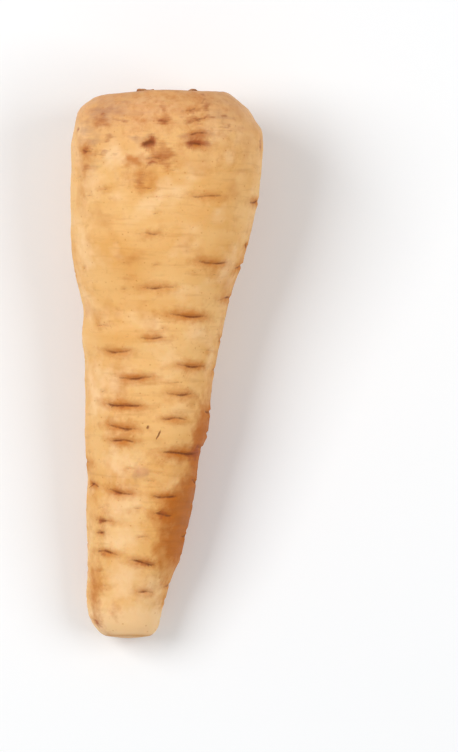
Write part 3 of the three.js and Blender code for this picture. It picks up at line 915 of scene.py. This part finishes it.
class ParsnipColours(bpy.types.PropertyGroup):
    cream: colour_property("Cream", "The skin's main colour", "#EDBA77")
    # Golden also paints the warm reflection round the flank.
    golden: colour_property("Golden", "Its golden patches", "#E2A457")
    # Pale also paints the highlight of the pale marks down the lower half and over the tip.
    pale: colour_property("Pale", "Flesh that shows through the thinnest skin", "#F7CD98")
    tan: colour_property("Tan", "Corky rings and the mottle", "#CF9353")
    blush: colour_property("Blush", "The darker skin round the crown", "#D2976C")
    # Down the right of the lower half, amber is also painted shade.
    amber: colour_property("Amber", "Stains beside the furrows and down one side", "#BE6A1B")
    rust: colour_property("Rust", "Rusty marks", "#A2522A")
    bark: colour_property("Bark", "The bottoms of the furrows and the dried leaf bases", "#80451F")
    # Dusk also paints the shade at the left of the pit.
    dusk: colour_property("Dusk", "The dull smudges round the crown", "#B07A5C")


class ParsnipRoot(bpy.types.PropertyGroup):
    columns: IntProperty(name="Columns", description="Points round the root", default=300, min=24)
    rows: IntProperty(name="Rows", description="Rows of points down the side", default=272, min=24)
    fine_furrows: IntProperty(
        name="Fine Furrows", description="Fine furrows that are tried", default=230, min=0
    )
    seed: IntProperty(
        name="Seed", description="Where the draws of fine furrows and of waver start from", default=12
    )
    lip_height: FloatProperty(
        name="Lip Height", description="The lips' height against a furrow's depth", default=0.35, min=0
    )
    lump_height: length_property("Lump Height", "How far the slow lumps reach", 1.1)
    wrinkle_height: length_property("Wrinkle Height", "How far the wrinkles reach", 0.22)


class ParsnipLeafBases(bpy.types.PropertyGroup):
    thickness: length_property("Thickness", "A leaf base's thickness", LEAF_THICKNESS)
    worn_ends: length_property("Worn Ends", "How much lower its two ends are", 0.8)
    rib_height: length_property("Rib Height", "How high its ribs are", 0.7)


class ParsnipRootlets(bpy.types.PropertyGroup):
    density: FloatProperty(name="Density", description="Rootlets in a square metre of crease", default=70000)
    length: length_property("Length", "The longest rootlet", 3.2)
    radius: length_property("Radius", "A rootlet's radius", 0.13)
    seed: IntProperty(name="Seed", description="Where the rootlets' draw starts from", default=5)


class ParsnipStage(bpy.types.PropertyGroup):
    floor: colour_property("Floor", "The floor's colour", "#F5F6F7")
    lens: FloatProperty(name="Lens", description="The camera's focal length", default=600, unit="CAMERA")
    key_power: FloatProperty(name="Key Power", description="The main light", default=16.4, unit="POWER")
    fill_power: FloatProperty(
        name="Fill Power", description="The light opposite it", default=8.5, unit="POWER"
    )
    sky: FloatProperty(name="Sky", description="The strength of the light from all round", default=0.42)


class PARSNIP_OT_root(bpy.types.Operator):
    """Make the root, with its furrowed skin"""

    bl_idname = "parsnip.root"
    bl_label = "Parsnip Root"

    def execute(self, context):
        settings = context.scene.parsnip_root
        furrows = all_furrows(settings)
        lines = furrow_lines(furrows, settings.seed)
        thing = shown("parsnip_skin", bare_root(settings, furrows))
        around = CALLUS_ROUND * DEGREE
        callus = root_point(np.array(CALLUS_DOWN), around, side_share(np.array(CALLUS_DOWN), around))
        grown(thing, washed_skin(context.scene.parsnip_colours), *skin_tree(), {
            "Furrow Lines": lines,
            "Lip Height": settings.lip_height,
            "Callus": (callus * MM).tolist(),
            "Callus Radius": 2 * CALLUS_RADIUS * MM,
            "Callus Height": CALLUS_HEIGHT * MM,
            "Lump Height": settings.lump_height,
            "Wrinkle Height": settings.wrinkle_height,
        })
        bpy.data.objects.remove(lines)
        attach(thing, "root")
        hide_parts("parsnip_root")
        return {"FINISHED"}


class PARSNIP_OT_leaf_bases(bpy.types.Operator):
    """Make the cut leaf bases in the hollow crown"""

    bl_idname = "parsnip.leaf_bases"
    bl_label = "Cut Leaf Bases"

    def execute(self, context):
        settings = context.scene.parsnip_leaf_bases
        draw = random_from(LEAF_SEED)
        rows = []
        for number in range(LEAF_COUNT):
            age = number / (LEAF_COUNT - 1)
            top = between(LEAF_TOP, next(draw))
            ragged = [LEAF_ROUGHNESS * (next(draw) - 0.5) for _ in range(LEAF_STEPS + 1)]
            rows.append({
                "round": (LEAF_START + LEAF_TURN * number) * DEGREE,
                "radius": between(LEAF_RADIUS, age) * MM,
                "half_span": between(LEAF_SPAN, age) * DEGREE / 2,
                "top": top * MM,
                "lean": between(LEAF_LEAN, age) * MM,
                "number": number,
                **{f"ragged_{step}": height * MM for step, height in enumerate(ragged)},
            })
        attributes = {key: [row[key] for row in rows] for key in rows[0]}
        thing = shown("leaf_bases", mesh_of("leaf_bases", np.zeros((LEAF_COUNT, 3)), [], [], attributes))
        crown = root_point(np.array(0.0), 0.0, 0.0)
        grown(thing, dry_leaf_base(context.scene.parsnip_colours), *leaf_base_tree(), {
            "Crown": (crown * MM).tolist(),
            "Thickness": settings.thickness,
            "Foot": LEAF_FOOT * MM,
            "Worn Ends": settings.worn_ends,
            "Rib Height": settings.rib_height,
            "Height Share": DEPTH_SHARE,
        })
        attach(thing, "root")
        return {"FINISHED"}


class PARSNIP_OT_rootlets(bpy.types.Operator):
    """Make the broken rootlets in the furrows"""

    bl_idname = "parsnip.rootlets"
    bl_label = "Broken Rootlets"

    def execute(self, context):
        settings = context.scene.parsnip_rootlets
        thing = shown("rootlets", bpy.data.objects["parsnip_skin"].data.copy())
        thing.data.materials.clear()
        grown(thing, dry_rootlet(context.scene.parsnip_colours), *rootlet_tree(), {
            "Density": settings.density,
            "Length": settings.length,
            "Radius": settings.radius,
            "Seed": settings.seed,
        })
        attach(thing, "root")
        return {"FINISHED"}


class PARSNIP_OT_stage(bpy.types.Operator):
    """Make the floor, the lights and the camera"""

    bl_idname = "parsnip.stage"
    bl_label = "Stage"

    def execute(self, context):
        settings = context.scene.parsnip_stage
        half = 8  # half the floor's width in metres
        mesh = bpy.data.meshes.new("floor")
        corners = [(-half, -half, 0), (half, -half, 0), (half, half, 0), (-half, half, 0)]
        mesh.from_pydata(corners, [], [(0, 1, 2, 3)])
        floor = shown("floor", mesh)
        mesh.materials.append(plain_floor(settings.floor))

        # A broad key from the left, and a weaker fill from the right.
        lights = (
            ("key", (-1.0, 0.35, 1.3), 0.9, settings.key_power),
            ("fill", (1.0, 0.05, 1.2), 0.9, settings.fill_power),
        )
        for name, place, size, power in lights:
            lamp = bpy.data.lights.new(name, "AREA")
            lamp.size = size
            lamp.energy = power
            light = shown(name, lamp)
            light.location = place
            light.rotation_euler = (-Vector(place)).to_track_quat("-Z", "Y").to_euler()

        world = bpy.data.worlds.new("sky")
        world.use_nodes = True
        background = world.node_tree.nodes["Background"]
        background.inputs["Color"].default_value = (*linear("#FFFFFF"), 1)
        background.inputs["Strength"].default_value = settings.sky
        context.scene.world = world
        context.scene.view_settings.view_transform = "Standard"

        # Straight above, with the crown at the top of the picture, as the photograph's frame has it.
        eye = bpy.data.cameras.new("camera")
        eye.lens = settings.lens
        eye.sensor_width = SENSOR
        camera = shown("camera", eye)
        distance = settings.lens / SENSOR * max(IMAGE) * MM_PER_PIXEL
        across = (IMAGE[0] / 2 - CROWN_PIXEL[0]) * MM_PER_PIXEL
        down = (IMAGE[1] / 2 - CROWN_PIXEL[1]) * MM_PER_PIXEL
        camera.location = Vector((across, MIDDLE - down, FOCUS_HEIGHT + distance)) * MM
        eye.clip_end = 10
        context.scene.camera = camera
        return {"FINISHED"}


class PARSNIP_PT_panel(bpy.types.Panel):
    """Lists the parsnip's pieces and its stage"""

    bl_idname = "PARSNIP_PT_panel"
    bl_label = "Parsnip"
    bl_space_type = "VIEW_3D"
    bl_region_type = "UI"
    bl_category = "Parsnip"

    def draw(self, context):
        for group, operator in PARTS:
            column = self.layout.column()
            settings = getattr(context.scene, group)
            for name in settings.__annotations__:
                column.prop(settings, name)
            if operator:
                column.operator(operator)


PARTS = (
    ("parsnip_colours", ""),
    ("parsnip_root", "parsnip.root"),
    ("parsnip_leaf_bases", "parsnip.leaf_bases"),
    ("parsnip_rootlets", "parsnip.rootlets"),
    ("parsnip_stage", "parsnip.stage"),
)
GROUPS = (ParsnipColours, ParsnipRoot, ParsnipLeafBases, ParsnipRootlets, ParsnipStage)
CLASSES = (
    *GROUPS, PARSNIP_OT_root, PARSNIP_OT_leaf_bases, PARSNIP_OT_rootlets, PARSNIP_OT_stage, PARSNIP_PT_panel,
)


def register():
    for cls in CLASSES:
        bpy.utils.register_class(cls)
    for (name, _), group in zip(PARTS, GROUPS):
        setattr(bpy.types.Scene, name, PointerProperty(type=group))


def unregister():
    for name, _ in PARTS:
        delattr(bpy.types.Scene, name)
    for cls in reversed(CLASSES):
        bpy.utils.unregister_class(cls)


def main():
    register()
    bpy.ops.parsnip.root()
    bpy.ops.parsnip.leaf_bases()
    bpy.ops.parsnip.rootlets()
    bpy.ops.parsnip.stage()


if __name__ == "__main__":
    main()
